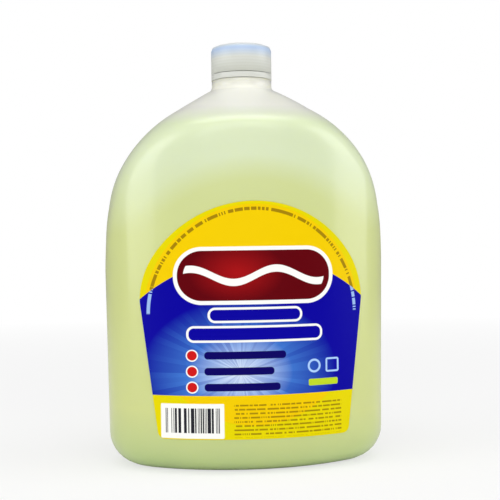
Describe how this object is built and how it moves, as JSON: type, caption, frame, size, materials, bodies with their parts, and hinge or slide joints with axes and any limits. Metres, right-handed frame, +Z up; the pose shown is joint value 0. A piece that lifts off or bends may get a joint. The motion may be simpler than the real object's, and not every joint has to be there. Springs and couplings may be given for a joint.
{
  "type": "bleach bottle",
  "caption": "Large oval blow-moulded household bottle with a domed shoulder, a screw cap with tamper band, pale green liquid inside and a wide front label.",
  "frame": {"origin": "middle of the foot, on the surface that the bottle stands on", "axes": "+Z up along the neck, +X along the wide side, the label faces -Y"},
  "size_m": [0.1982, 0.1312, 0.2938],
  "materials": {
    "bottle_plastic": "translucent, semi-gloss",
    "cap_plastic": "translucent, semi-gloss",
    "seal_plastic": "soft, matt",
    "bleach_liquid": "clear liquid",
    "label_film": "printed film, glossy"
  },
  "bodies": {
    "bottle_body": {"bottle": "bottle_plastic", "tamper_band": "cap_plastic", "bleach": "bleach_liquid", "front_label": "label_film"},
    "seal": {"seal_insert": "seal_plastic"},
    "cap_body": {"cap": "cap_plastic"}
  },
  "joints": [
    {"name": "cap_lift", "type": "slide", "parent": "bottle_body", "child": "seal", "axis": [0, 0, 1], "range_m": [0, 0.00745]},
    {"name": "cap_turn", "type": "hinge", "parent": "seal", "child": "cap_body", "pos_m": [0, 0, 0.28], "axis": [0, 0, 1], "range_deg": [0, 630]}
  ],
  "couplings": [
    {"joint": "cap_lift", "follows": "cap_turn", "m_per_rad": 0.00066845}
  ]
}
